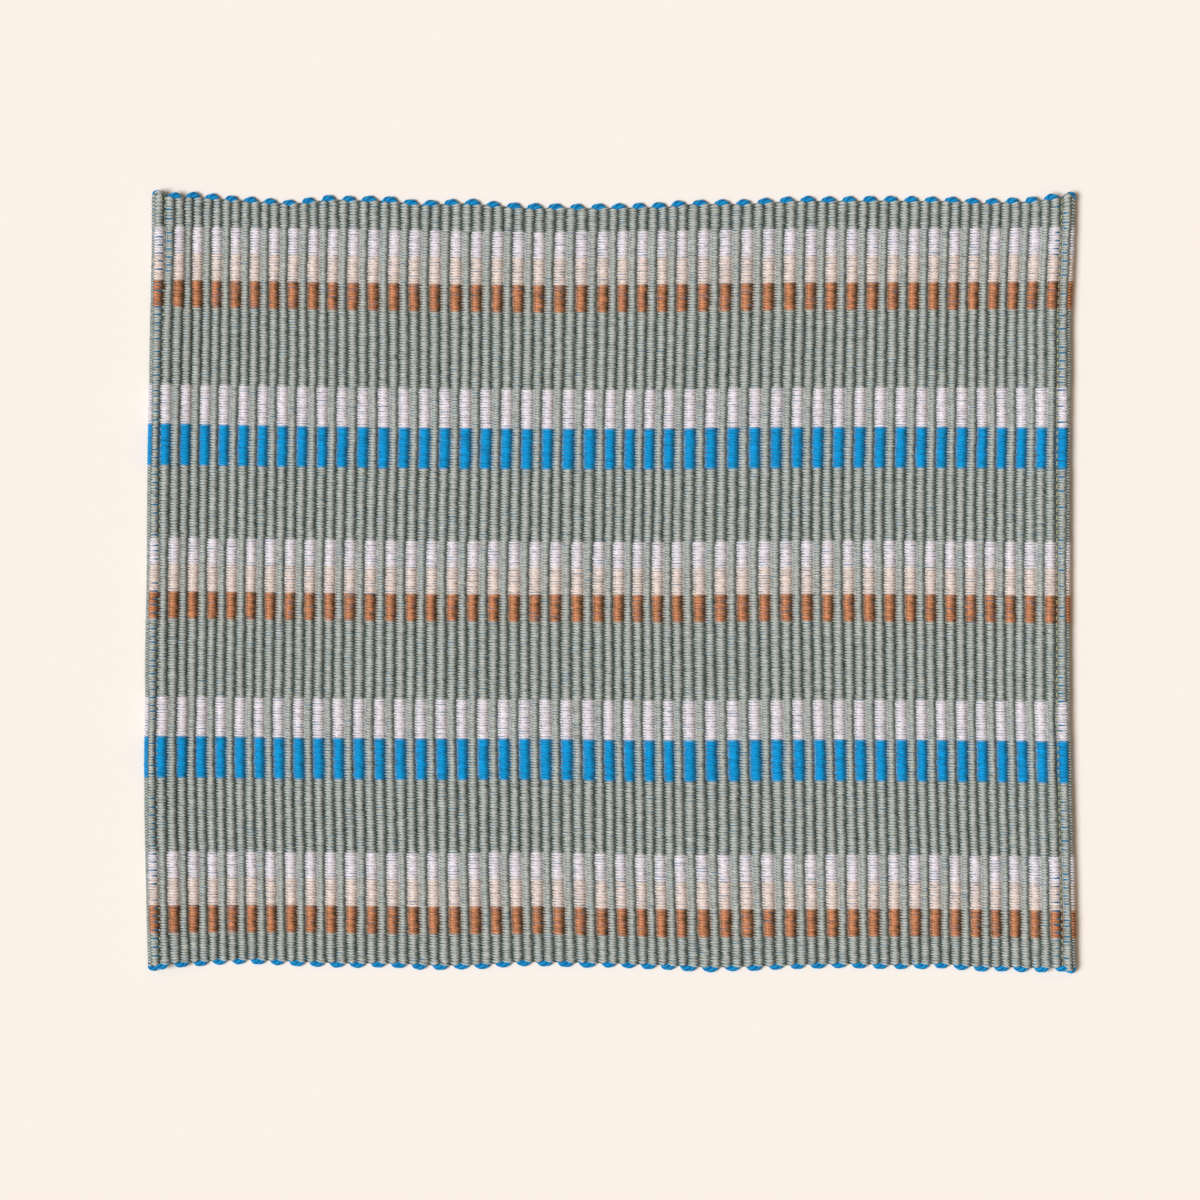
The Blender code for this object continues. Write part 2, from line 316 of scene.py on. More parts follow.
def arch(place):
    """Share of a rib's height at a place across it: 0 in its grooves, 1 at its crest."""
    low = math.sqrt(1 - ARCH_SHARE**2)
    round_it = (math.sqrt(1 - (ARCH_SHARE * (2 * place - 1)) ** 2) - low) / (1 - low)
    return (round_it + 0.5 - 0.5 * math.cos(2 * math.pi * place)) / 2


def dye_weights():
    """Share of each dye in every end: an array of shed, end, dye."""
    weights = np.zeros((2, ENDS, len(DYES)))
    for shed, dye, first, after in DYED_ENDS:
        for start in range(0, ENDS - first, REPEAT):
            weights["AB".index(shed), start + first : start + after, DYES.index(dye)] = 1.0
    return weights


def wander(rng, lines, length, step):
    """Slow random waves from -1 to 1, one for each line, with a turning point every step places."""
    knots = rng.uniform(-1, 1, (lines, length // step + 3))
    places = np.arange(length) / step + 0.5
    low = places.astype(int)
    part = (1 - np.cos((places - low) * math.pi)) / 2
    return knots[:, low] * (1 - part) + knots[:, low + 1] * part


def top_shed(rib):
    """0 where shed A lies on top of a rib, 1 where shed B does."""
    return (rib + 1) % 2


def weft_show(rng, ribs, sheds, v, slit):
    """Where blue weft shows between two ends, from 0 to 1, and how far the ends are pushed apart in mm:
    two arrays of rib, place, row."""
    gaps = top_shed(ribs)[:, None] != sheds[None, :]
    patches = 0.5 + 0.5 * wander(rng, len(ribs), len(v), SHOW_ROWS)
    pale = dye_weights()[top_shed(ribs)][:, v.astype(int), :2].sum(axis=2)
    chance = np.maximum(SHOW_SHARE * patches**SHOW_FALL, PALE_SHOW * pale)
    strength = rng.uniform(*SHOW_STRENGTH, gaps.shape) * (gaps & (rng.random(gaps.shape) < chance))
    middle, reach = rng.uniform(0.1, 0.9, gaps.shape), rng.uniform(*SHOW_REACH, gaps.shape)
    show = np.stack([strength * (abs(place - middle) < reach) for place in FACE_PLACES], axis=1)
    parting = np.zeros(show.shape)
    for rib, side, first, last, longest, share in SLITS:
        at = rib - FIRST_RIB
        rows = np.flatnonzero(gaps[at])
        for number in np.arange(first, last, NEEDLE_STEP / END_PITCH):
            row = rows[np.argmin(abs(v[rows] - number - rng.uniform(-0.25, 0.25)))]
            length, seen = longest * rng.uniform(0.5, 1.2), rng.random() < share
            for index, place in enumerate(FACE_PLACES):
                fade = max(0.0, 1 - abs(place - side) / length)
                if seen and fade:
                    show[at, index, row] = 0.6 + 0.4 * fade
                    apart = v - v[row]
                    push = slit * fade**0.5 * np.exp(-abs(apart) / SLIT_SPREAD)
                    parting[at, index] += np.sign(apart) * push
    return show, parting


def weave_face(cloth):
    """The whole face as a grid of points: columns across the ribs and, down each column, one row for every
    warp end of either shed. Gives the points, and what the material reads there."""
    rng = np.random.default_rng(7)
    ribs = np.arange(FIRST_RIB, LAST_RIB + 2)
    sheds = np.arange(2 * ENDS) % 2
    v = (np.arange(2 * ENDS) + 0.5) / 2
    ends, size = v.astype(int), (len(ribs), len(v))
    dyes = dye_weights()
    dyed = dyes[:, ends].sum(axis=2)
    swell = np.convolve(dyed[0] - dyed[1], np.ones(5) / 5, mode="same")
    sideways = cloth.swell * swell + cloth.teeth * (1 - 2 * sheds)
    shifts = np.where(top_shed(ribs)[:, None] == 0, -1, 1) * sideways
    shifts = shifts + SIDE_SLOW * wander(rng, *size, 40) + SIDE_QUICK * wander(rng, *size, 9)
    shifts = shifts + rng.normal(0, SIDE_ROWS, size)
    lift = CREST_WAVE * wander(rng, *size, 60)
    jitter, drift = rng.normal(0, END_LIFT, size), rng.normal(0, END_DRIFT, size)
    show, parting = weft_show(rng, ribs, sheds, v, cloth.slit)
    mottle = rng.normal(0, MOTTLE, (len(ribs), len(FACE_PLACES), len(v)))
    mottle += rng.normal(0, MOTTLE_ENDS, (len(ribs), 1, len(v)))

    last = len(v) - 1
    core = np.r_[0, 0, np.arange(len(v)), last, last]
    out = np.r_[CLOSE_OUT, np.zeros(len(v)), [-reach for reach in CLOSE_OUT[::-1]]]
    closing = np.r_[CLOSE_HEIGHT, np.ones(len(v)), CLOSE_HEIGHT[::-1]]
    grid = {name: [] for name in ("points", "dyes", "gap", "weft", "valley", "along")}
    for at, rib in enumerate(ribs):
        top = top_shed(rib)
        valley = sheds != top
        folded = rib in (0, RIBS + 1)
        for index, place in enumerate(FACE_PLACES if rib <= LAST_RIB else (0.0,)):
            y = end_y(v, rib, place)
            y = y - parting[at, index] + (drift[at] if place else 0.0)
            crest = cloth.crest + lift[at] + (swell if top == 0 else -swell) * SWELL_LIFT
            depth = FOLD_GAP[0] if folded and place else GAP_DEPTH[place]
            height = cloth.groove + (crest - cloth.groove) * arch(place)
            height = height + np.where(valley, -cloth.gap_depth * depth, jitter[at] * (place > 0))
            height = height - SHOW_SINK * (show[at, index] - SHOW_FLAT).clip(0)
            height = height if place else height - SEAM_SINK.get(rib, 0.0)
            y, height = y[core] + out, height[core] * closing - CLOSE_DROP * (closing == 0)
            if place:
                left, right = shifts[at][core], 1 + shifts[at + 1][core]
                x, z = on_rib(rib, left + (right - left) * place, height, y)
                own, other = dyes[top, ends], dyes[1 - top, ends]
                between = (np.roll(own, 1, axis=0) + np.roll(own, -1, axis=0)) / 2
                pale = own[:, :2].sum(axis=1, keepdims=True)
                mixed = OTHER_SHED.get(place, 0.0) * (OTHER_SHED_LEAST + (1 - OTHER_SHED_LEAST) * pale)
                between = (1 - mixed) * between + mixed * other
                weights = np.where(valley[:, None], between, own)
            else:
                x, z = on_groove(rib, shifts[at][core], height, y)
                weights = dyes[sheds, ends]
            grid["points"].append(np.stack([x, y, np.maximum(z, FLOOR_CLEAR)], axis=1))
            grid["dyes"].append(weights[core])
            # Painted shade, which the material multiplies into the colour: darkest in the gaps and grooves, and on
            # a rib's right side, away from the key light
            in_gaps, on_ends = (FOLD_GAP[1], 0.0) if folded and place else (GAP_SHADE[place], END_SHADE[place])
            spared = np.where(valley, weights @ SPARED_GAPS, weights @ SPARED_ENDS)
            spared = spared if place else SPARED_GROOVE * dyes[:, ends].sum(axis=(0, 2))
            shade = np.where(valley, in_gaps, on_ends) * (1 - spared)
            shade = shade + RUST_SHADE[place] * weights[:, 2]
            grid["gap"].append((shade + mottle[at, index]).clip(0, 1)[core])
            grid["weft"].append(show[at, index][core])
            grid["valley"].append(valley[core])
            grid["along"].append(rib + place)
    grid = {name: np.array(values) for name, values in grid.items()}
    grid["v"] = v[core] + np.r_[-0.4, -0.2, np.zeros(len(v)), 0.2, 0.4]
    return grid


def weave_back(cloth):
    """The back of the cloth as a coarser grid, where each rib shows the shed that its face hides. The single
    ends are left to the material."""
    dyes = dye_weights()
    edges = [n for n in range(1, ENDS) for shed in (0, 1) if any(dyes[shed, n] != dyes[shed, n - 1])]
    v = np.unique(np.r_[np.linspace(0.3, ENDS - 0.3, BACK_ROWS), [n + s for n in edges for s in (-0.12, 0.12)]])
    ends = v.astype(int)
    last = len(v) - 1
    core = np.r_[0, 0, np.arange(len(v)), last, last]
    out = np.r_[BACK_OUT, np.zeros(len(v)), [-reach for reach in BACK_OUT[::-1]]]
    closing = np.r_[BACK_HEIGHT, np.ones(len(v)), BACK_HEIGHT[::-1]]
    grid = {name: [] for name in ("points", "dyes", "gap", "weft", "valley", "along")}
    for rib in range(FIRST_RIB, LAST_RIB + 2):
        for place in BACK_PLACES if rib <= LAST_RIB else (0.0,):
            y = end_y(v, rib, place)[core] + out
            height = -(cloth.groove + (cloth.crest - cloth.groove) * arch(place)) * closing
            x, z = on_rib(rib, place, height, y) if place else on_groove(rib, 0.0, height, y)
            fold = 0 if rib in (0, 1) else RIBS + 1
            if rib in (0, RIBS + 1) or (rib in (1, RIBS + 2) and not place):
                share = place if rib == fold else 1.0
                x, z = on_rib(fold, 0.5, np.full(len(y), -FOLD_INSIDE), y)
                z = z + (share - 0.5) * LAYER_GAP * (1 if fold == 0 else -1)
            hidden = dyes[1 - top_shed(rib), ends]
            weights = hidden if place else (hidden + dyes[top_shed(rib), ends]) / 2
            grid["points"].append(np.stack([x, y, np.maximum(z, FLOOR_CLEAR)], axis=1))
            grid["dyes"].append(weights[core])
            # Painted shade in the back's grooves
            grid["gap"].append(np.full(len(core), 0.0 if place else GAP_SHADE[0.0]))
            grid["weft"].append(np.zeros(len(core)))
            grid["valley"].append(np.zeros(len(core), bool))
            grid["along"].append(rib + place)
    grid = {name: np.array(values) for name, values in grid.items()}
    grid["v"] = v[core]
    return grid


def make_sheet(name, grid, first, after, faces_up=True):
    """A mesh object from the columns first to after - 1 of a grid."""
    part = {key: values if key == "v" else values[first:after] for key, values in grid.items()}
    columns, rows = part["points"].shape[:2]
    corner = np.arange(columns * rows).reshape(columns, rows)
    quads = [corner[:-1, :-1], corner[:-1, 1:], corner[1:, 1:], corner[1:, :-1]]
    quads = np.stack(quads if faces_up else quads[::-1], axis=-1).reshape(-1, 4)
    mesh = bpy.data.meshes.new(name)
    mesh.from_pydata(part["points"].reshape(-1, 3) * MM, [], quads)
    mesh.shade_smooth()

    at_column, at_row = np.divmod(quads, rows)
    weave = mesh.uv_layers.new(name="weave")
    uv = np.stack([part["along"][at_column], part["v"][at_row]], axis=-1)
    weave.data.foreach_set("uv", uv.astype(np.float32).ravel())
    near_half = at_row.min(axis=1) >= rows // 2
    top_row = np.where(near_half, rows // 2, 0)
    flat = mesh.uv_layers.new(name="OFBake")
    u = 0.01 + 0.48 * at_column / (columns - 1) + 0.5 * near_half[:, None]
    w = 0.01 + 0.98 * (at_row - top_row[:, None]) / (rows - rows // 2)
    flat.data.foreach_set("uv", np.stack([u, w], axis=-1).astype(np.float32).ravel())

    for key in ("gap", "weft"):
        layer = mesh.attributes.new(key, "FLOAT", "POINT")
        layer.data.foreach_set("value", part[key].astype(np.float32).ravel())
    layer = mesh.attributes.new("dyes", "FLOAT_COLOR", "POINT")
    layer.data.foreach_set("color", part["dyes"].astype(np.float32).ravel())

    pairs = np.zeros(2 * len(mesh.edges), int)
    mesh.edges.foreach_get("vertices", pairs)
    low, high = np.sort(pairs.reshape(-1, 2), axis=1).T
    in_gap = (low % rows == high % rows) & part["valley"].ravel()[low]
    in_groove = (low // rows == high // rows) & (part["along"] % 1 == 0)[low // rows]
    mesh.edges.foreach_set("use_edge_sharp", in_gap | in_groove)
    made = bpy.data.objects.new(name, mesh)
    bpy.context.collection.objects.link(made)
    return made


# -----------------------------------------------------------------------------
# Weft turns and sewing
# -----------------------------------------------------------------------------


def turn_pairs():
    """Every visible turn of the weft: its first rib, the second, and whether it is at the far edge."""
    far = [(rib, rib + 1, True) for rib in range(FIRST_RIB, LAST_RIB, 2)]
    return far + [(rib, rib + 1, False) for rib in range(FIRST_RIB + 1, LAST_RIB, 2)]


def twisted_turn(rng, weft, first, second, far):
    """One turn of the weft as rings of points around its path, with the painted shade between its plies."""
    side = 1 if far else -1
    table = FAR_EDGE if far else NEAR_EDGE
    ends_y = table[0][1]
    (x1, z1), (x2, z2) = (on_rib(rib, 0.5, 0.0, ends_y) for rib in (first, second))
    middle = (x1 + x2) / 2
    outline = float(look_up(table, middle))
    under = second < 0 or first > RIBS + 1
    base = outline - side * (TURN_REACH + (UNDER_INSET if under else 0.0))
    reach = TURN_REACH - weft.radius - rng.uniform(*TURN_BACK[far])
    half = (x2 - x1) / 2 * rng.uniform(*TURN_WIDTH[far])
    angle = np.linspace(-TURN_SWEEP, TURN_SWEEP, TURN_RINGS) * math.pi / 2
    shift = look_up(TURN_SHIFT, middle, 1 if far else 2)
    path_x = middle + shift + half * np.sign(angle) * np.abs(np.sin(angle)) ** TURN_SQUARE
    path_y = base + side * ((reach + TURN_DEPTH) * np.cos(angle) - TURN_DEPTH)
    path_z = (z1 + z2) / 2 + (z2 - z1) / 2 * np.sin(angle) - TURN_SINK
    along = np.stack([np.gradient(path_x), np.gradient(path_y)], axis=1)
    along /= np.linalg.norm(along, axis=1)[:, None]
    round_it = np.linspace(0, 2 * math.pi, TURN_POINTS, endpoint=False)
    twist = np.linspace(0, weft.twists * 2 * math.pi, TURN_RINGS) + rng.uniform(0, 2 * math.pi)
    ply = np.cos(weft.plies * (round_it[None, :] - twist[:, None]))
    radius = weft.radius * (1 + PLY_RELIEF * ply) * (1 - TURN_TAPER * np.abs(np.sin(angle))[:, None])
    out = radius * np.cos(round_it)
    out = np.where(out < 0, out * (1 + TURN_SWELL * np.cos(angle)[:, None].clip(0)), out)
    points = np.empty((TURN_RINGS, TURN_POINTS, 3))
    points[..., 0] = path_x[:, None] + out * along[:, 1:2]
    points[..., 1] = path_y[:, None] - out * along[:, 0:1]
    points[..., 2] = path_z[:, None] + 0.95 * radius * np.sin(round_it)
    # Painted shade between the plies: darkest where the ply relief is lowest
    return points, np.clip(-ply, 0, 1)


def make_tubes(name, tubes, closed=False):
    """One mesh object from many tubes, each given as rings of points, with a painted shade value at every point."""
    rings, around = tubes[0][0].shape[:2]
    ring, turn = np.meshgrid(np.arange(rings - 1), np.arange(around), indexing="ij")
    after = (turn + 1) % around
    quads = [ring * around + turn, ring * around + after, (ring + 1) * around + after, (ring + 1) * around + turn]
    quads = np.stack(quads, axis=-1).reshape(-1, 4)
    count = rings * around
    starts = np.arange(len(tubes))[:, None, None] * count
    faces = (quads[None] + starts).reshape(-1, 4).tolist()
    if closed:
        ends = np.stack([np.arange(around)[::-1], np.arange(count - around, count)])
        faces += (ends[None] + starts).reshape(-1, around).tolist()
    points = np.concatenate([tube.reshape(-1, 3) for tube, _ in tubes]) * MM
    mesh = bpy.data.meshes.new(name)
    mesh.from_pydata(points, [], faces)
    mesh.shade_smooth()
    layer = mesh.attributes.new("gap", "FLOAT", "POINT")
    layer.data.foreach_set("value", np.concatenate([shade.ravel() for _, shade in tubes]).astype(np.float32))
    made = bpy.data.objects.new(name, mesh)
    bpy.context.collection.objects.link(made)
    bpy.ops.object.select_all(action="DESELECT")
    made.select_set(True)
    bpy.context.view_layer.objects.active = made
    bpy.ops.object.mode_set(mode="EDIT")
    bpy.ops.mesh.select_all(action="SELECT")
    bpy.ops.mesh.normals_make_consistent(inside=False)
    bpy.ops.object.mode_set(mode="OBJECT")
    return made


def model_stitch(sewing):
    """One stitch of the thread as rings of points: a round rod along Y, whose ends dip into the cloth."""
    angle = np.linspace(STITCH_END, math.pi - STITCH_END, STITCH_RINGS)[:, None]
    round_it = np.linspace(0, 2 * math.pi, STITCH_POINTS, endpoint=False)
    share = np.cos(angle)
    radius = sewing.thread / 2 * np.sin(angle) * (1 + STITCH_BROADEN * share**2)
    points = np.empty((STITCH_RINGS, STITCH_POINTS, 3))
    points[..., 0] = radius * np.cos(round_it)
    points[..., 1] = sewing.length / 2 * share
    points[..., 2] = radius * np.sin(round_it) - sewing.dip * share**4
    return points


# -----------------------------------------------------------------------------
# Materials
# -----------------------------------------------------------------------------


def linear(hex_colour):
    """Linear RGBA of an sRGB hex colour."""
    values = [int(hex_colour[i : i + 2], 16) / 255 for i in (0, 2, 4)]
    return (*(c / 12.92 if c <= 0.04045 else ((c + 0.055) / 1.055) ** 2.4 for c in values), 1.0)


def add_node(tree, kind, inputs=(), **settings):
    """A node with its settings, and its inputs by name or number: each a value or a socket to link."""
    new = tree.nodes.new(kind)
    for key, value in settings.items():
        setattr(new, key, value)
    for key, value in dict(inputs).items():
        if isinstance(value, bpy.types.NodeSocket):
            tree.links.new(value, new.inputs[key])
        else:
            new.inputs[key].default_value = value
    return new


def mix_colours(tree, factor, first, second, blend="MIX"):
    return add_node(
        tree, "ShaderNodeMix", {0: factor, 6: first, 7: second}, data_type="RGBA", blend_type=blend
    ).outputs[2]


def cotton_shader(name, roughness, sheen):
    """A new material with its Principled shader set for matt cotton: fuzzy, with hardly any gloss."""
    material = bpy.data.materials.new(name)
    material.use_nodes = True
    shader = material.node_tree.nodes["Principled BSDF"]
    shader.inputs["Roughness"].default_value = roughness
    shader.inputs["Specular IOR Level"].default_value = 0.2
    shader.inputs["Sheen Weight"].default_value = sheen
    shader.inputs["Sheen Roughness"].default_value = 0.5
    return material, material.node_tree, shader


def warp_cotton(name, colours, ends_in_bump):
    """Fine two-ply cotton warp, dyed in the yarn and woven: matt, a little uneven from end to end, with painted
    shade down between the ends, in the grooves and on the ribs' right sides, and with the blue weft showing
    through where they part, in a darker blue as painted shade."""
    material, tree, shader = cotton_shader(name, 0.88, 0.06)
    dyes = add_node(tree, "ShaderNodeAttribute", attribute_name="dyes")
    gap = add_node(tree, "ShaderNodeAttribute", attribute_name="gap")
    weft = add_node(tree, "ShaderNodeAttribute", attribute_name="weft")
    weave = add_node(tree, "ShaderNodeUVMap", uv_map="weave")
    shares = add_node(tree, "ShaderNodeSeparateColor", {"Color": dyes.outputs["Color"]})
    colour = tuple(colours.warp)
    for share, dye in (
        (shares.outputs[0], colours.white),
        (shares.outputs[1], colours.peach),
        (shares.outputs[2], colours.rust),
        (dyes.outputs["Alpha"], colours.blue),
    ):
        colour = mix_colours(tree, share, colour, tuple(dye))
    # Slubs and dye lots: streaks about two ribs long and one end wide
    streaks = add_node(tree, "ShaderNodeMapping", {"Vector": weave.outputs["UV"], "Scale": (0.45, 1.1, 1.0)})
    uneven = add_node(
        tree, "ShaderNodeTexNoise", {"Vector": streaks.outputs[0], "Scale": 1.0, "Detail": 3.0, "Roughness": 0.6}
    )
    shade = add_node(
        tree, "ShaderNodeMapRange", {"Value": uneven.outputs["Fac"], 1: 0.25, 2: 0.75, 3: 0.83, 4: 1.14}
    )
    colour = mix_colours(tree, 1.0, colour, shade.outputs[0], "MULTIPLY")
    # Fibres: specks 0.6 mm long, random in tone, that follow the bump: painted light where they stand up and
    # painted shade between them
    in_mm = add_node(
        tree, "ShaderNodeMapping", {"Vector": weave.outputs["UV"], "Scale": (PITCH, END_PITCH, 1.0)}
    )
    fibres = add_node(
        tree, "ShaderNodeTexNoise", {"Vector": in_mm.outputs[0], "Scale": 1.7, "Detail": 3.0, "Roughness": 0.7}
    )
    specks = add_node(
        tree, "ShaderNodeMapRange", {"Value": fibres.outputs["Fac"], 1: 0.3, 2: 0.7, 3: 0.72, 4: 1.2}
    )
    colour = mix_colours(tree, 1.0, colour, specks.outputs[0], "MULTIPLY")
    # Painted shade: multiplied in, darkest in the gaps and grooves and on the ribs' right sides
    colour = mix_colours(tree, gap.outputs["Fac"], colour, tuple(colours.gap), "MULTIPLY")
    # The weft where it shows, in a blue set darker than the turns' as painted shade down between the ends
    seen = add_node(tree, "ShaderNodeMapRange", {"Value": weft.outputs["Fac"], 1: 0.47, 2: 0.55})
    colour = mix_colours(tree, seen.outputs[0], colour, tuple(colours.weft))
    tree.links.new(colour, shader.inputs["Base Color"])
    # Twist of the yarn: slanting ridges 0.55 mm apart
    twist = add_node(
        tree,
        "ShaderNodeTexWave",
        {"Vector": in_mm.outputs[0], "Scale": 0.41, "Distortion": 2.0, "Detail": 2.0, "Detail Scale": 2.0},
        bands_direction="DIAGONAL",
    )
    bump = add_node(
        tree, "ShaderNodeBump", {"Strength": 0.6, "Distance": 0.0002, "Height": twist.outputs["Fac"]}
    )
    bump = add_node(
        tree,
        "ShaderNodeBump",
        {"Strength": 0.6, "Distance": 0.0004, "Height": fibres.outputs["Fac"], "Normal": bump.outputs[0]},
    )
    # Each end is two threads side by side; on the back the ends themselves are drawn too
    split = add_node(tree, "ShaderNodeSeparateXYZ", {0: weave.outputs["UV"]})
    for pitch, depth in ((0.5, 0.00012), (1.0, 0.0003)) if ends_in_bump else ((0.5, 0.00012),):
        phase = add_node(tree, "ShaderNodeMath", {0: split.outputs[1], 1: pitch / 2}, operation="ADD")
        round_it = add_node(tree, "ShaderNodeMath", {0: phase.outputs[0], 1: pitch / 2}, operation="PINGPONG")
        bump = add_node(
            tree,
            "ShaderNodeBump",
            {"Strength": 0.8, "Distance": depth, "Height": round_it.outputs[0], "Normal": bump.outputs[0]},
        )
    tree.links.new(bump.outputs[0], shader.inputs["Normal"])
    return material


def weft_cotton(colours):
    """Thick blue cotton weft, four soft plies twisted together: matt and fibrous, with painted shade between the
    plies.
    """
    material, tree, shader = cotton_shader("plied blue cotton weft", 0.85, 0.08)
    place = add_node(tree, "ShaderNodeTexCoord")
    gap = add_node(tree, "ShaderNodeAttribute", attribute_name="gap")
    fibres = add_node(
        tree, "ShaderNodeTexNoise", {"Vector": place.outputs["Object"], "Scale": 1800.0, "Detail": 3.0}
    )
    # Fibres: random tone that follows the bump, so painted lighter where they stand up and darker between them
    shade = add_node(tree, "ShaderNodeMapRange", {"Value": fibres.outputs["Fac"], 1: 0.3, 2: 0.7, 3: 0.8, 4: 1.15})
    colour = mix_colours(tree, 1.0, tuple(colours.turn), shade.outputs[0], "MULTIPLY")
    # Painted shade between the plies
    colour = mix_colours(tree, gap.outputs["Fac"], colour, tuple(colours.painted_ply_shade), "MULTIPLY")
    tree.links.new(colour, shader.inputs["Base Color"])
    bump = add_node(tree, "ShaderNodeBump", {"Strength": 0.5, "Distance": 0.00015, "Height": fibres.outputs["Fac"]})
    tree.links.new(bump.outputs[0], shader.inputs["Normal"])
    return material


def sewing_thread(colours):
    """Olive cotton-wrapped sewing thread, three plies: painted sheen and shade along slanting ridges 0.4 mm apart,
    lighter on the ridges of the bump.
    """
    material, tree, shader = cotton_shader("olive sewing thread", 0.6, 0.1)
    place = add_node(tree, "ShaderNodeTexCoord")
    plies = add_node(
        tree,
        "ShaderNodeTexWave",
        {"Vector": place.outputs["Object"], "Scale": 560.0, "Distortion": 0.5},
        bands_direction="DIAGONAL",
    )
    # Painted sheen and shade: lighter on the ridges of the bump, darker between them
    shade = add_node(tree, "ShaderNodeMapRange", {"Value": plies.outputs["Fac"], 3: 0.75, 4: 1.1})
    colour = mix_colours(tree, 1.0, tuple(colours.thread), shade.outputs[0], "MULTIPLY")
    tree.links.new(colour, shader.inputs["Base Color"])
    bump = add_node(tree, "ShaderNodeBump", {"Strength": 0.4, "Distance": 0.0001, "Height": plies.outputs["Fac"]})
    tree.links.new(bump.outputs[0], shader.inputs["Normal"])
    return material


def studio_board(colour):
    """Matt painted board under the mat: one even warm white, with a faint grain."""
    material, tree, shader = cotton_shader("matt painted board", 0.9, 0.0)
    place = add_node(tree, "ShaderNodeTexCoord")
    grain = add_node(tree, "ShaderNodeTexNoise", {"Vector": place.outputs["Object"], "Scale": 300.0})
    shade = add_node(tree, "ShaderNodeMapRange", {"Value": grain.outputs["Fac"], 3: 0.99, 4: 1.01})
    tree.links.new(mix_colours(tree, 1.0, colour, shade.outputs[0], "MULTIPLY"), shader.inputs["Base Color"])
    return material


# -----------------------------------------------------------------------------
# Settings
# -----------------------------------------------------------------------------


def size_setting(name, description, default):
    return bpy.props.FloatProperty(name=name, description=description, default=default, min=0.0, unit="NONE")


def colour_setting(name, description, default):
    return bpy.props.FloatVectorProperty(
        name=name, description=description, default=linear(default), size=4, min=0.0, max=1.0, subtype="COLOR"
    )


class PlacematCloth(bpy.types.PropertyGroup):
    crest: size_setting("Crest", "Height of a rib's crest over the middle of the cloth, in mm", 1.5)
    groove: size_setting("Groove", "Height of the cloth between two ribs over its middle, in mm", 0.0)
    gap_depth: size_setting("Gap depth", "Depth of the gaps between warp ends, as a share of the usual", 1.0)
    teeth: size_setting("Teeth", "How far the ends of the two sheds lock past each other, in ribs", 0.09)
    swell: size_setting("Swell", "How far dyed ribs spread over their neighbours, in ribs", 0.075)
    slit: size_setting("Slit", "How far the needle pushes the ends apart, in mm", 0.5)


class PlacematWeft(bpy.types.PropertyGroup):
    radius: size_setting("Radius", "Half the thickness of a weft turn, in mm", 1.15)
    twists: size_setting("Twists", "Full twists of the plies in one turn", 0.9)
    plies: bpy.props.IntProperty(name="Plies", description="Plies of the weft", default=4, min=2, max=6)


class PlacematSewing(bpy.types.PropertyGroup):
    length: size_setting("Stitch", "Length of one stitch, in mm", 3.1)
    thread: size_setting("Thread", "Thickness of the sewing thread, in mm", 0.75)
    dip: size_setting("Dip", "How far the ends of a stitch go down, in mm", 0.9)
    stand: size_setting("Stand", "Height of the thread's middle over the bottom of its groove, in mm", 0.9)


class PlacematColours(bpy.types.PropertyGroup):
    warp: colour_setting("Warp", "Grey-green warp that covers most of the cloth", "C9D0CC")
    white: colour_setting("White", "White ends of the stripes", "F6F1FB")
    peach: colour_setting("Peach", "Peach ends of the stripes", "F8E7E1")
    rust: colour_setting("Rust", "Rust ends of the stripes", "EEA074")
    blue: colour_setting("Blue", "Blue ends of the stripes", "00A4EC")
    # Painted shade: multiplied into the colour in the gaps and grooves and on the ribs' right sides
    gap: colour_setting("Gap shade", "Shade between the ends, multiplied into their colour", "465A55")
    # The weft's blue, set darker than the turns' as painted shade down between the ends
    weft: colour_setting("Weft", "Blue weft where it shows between the ends", "1678A6")
    turn: colour_setting("Turn", "Blue weft in its turns", "0A98D8")
    # Painted shade between the plies, multiplied into the turns' blue
    painted_ply_shade: colour_setting("Ply shade", "Shade between the plies of a turn", "5A7BA8")
    thread: colour_setting("Thread", "Sewing thread of the hems", "B5B48C")


class PlacematStage(bpy.types.PropertyGroup):
    floor: colour_setting("Floor", "Colour of the floor", "FBF6F0")
    sky: colour_setting("Fill colour", "Colour of the soft light from all round", "FFDFBE")
    lamp: colour_setting("Key colour", "Colour of the light from the left", "F7FBFF")
    key: bpy.props.FloatProperty(name="Key", description="Strength of the light from the left", default=2.91)
    fill: bpy.props.FloatProperty(name="Fill", description="Strength of the light all round", default=0.31)
    lens: bpy.props.FloatProperty(name="Lens", description="Focal length, in mm", default=135.0)


# -----------------------------------------------------------------------------
# Operators
# -----------------------------------------------------------------------------


def wear(piece, material):
    piece.data.materials.clear()
    piece.data.materials.append(material)
    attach(piece, "root")


class PLACEMAT_OT_face(bpy.types.Operator):
    """Weave the face of the cloth, with its hems turned under"""

    bl_idname = "placemat.face"
    bl_label = "Weave the Face"

    def execute(self, context):
        scene = context.scene
        grid = weave_face(scene.placemat_cloth)
        material = warp_cotton("warp-faced cotton", scene.placemat_colours, False)
        ribs = (LAST_RIB + 1 - FIRST_RIB) // PANELS
        for panel in range(PANELS):
            first = panel * ribs * len(FACE_PLACES)
            piece = make_sheet(f"cloth_face_{panel + 1}", grid, first, first + ribs * len(FACE_PLACES) + 1)
            wear(piece, material)
            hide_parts("mat")
        return {"FINISHED"}


class PLACEMAT_OT_back(bpy.types.Operator):
    """Weave the back of the cloth"""

    bl_idname = "placemat.back"
    bl_label = "Weave the Back"

    def execute(self, context):
        scene = context.scene
        grid = weave_back(scene.placemat_cloth)
        piece = make_sheet("cloth_back", grid, 0, len(grid["along"]), faces_up=False)
        material = warp_cotton("warp-faced cotton back", scene.placemat_colours, True)
        wear(piece, material)
        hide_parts("mat")
        return {"FINISHED"}


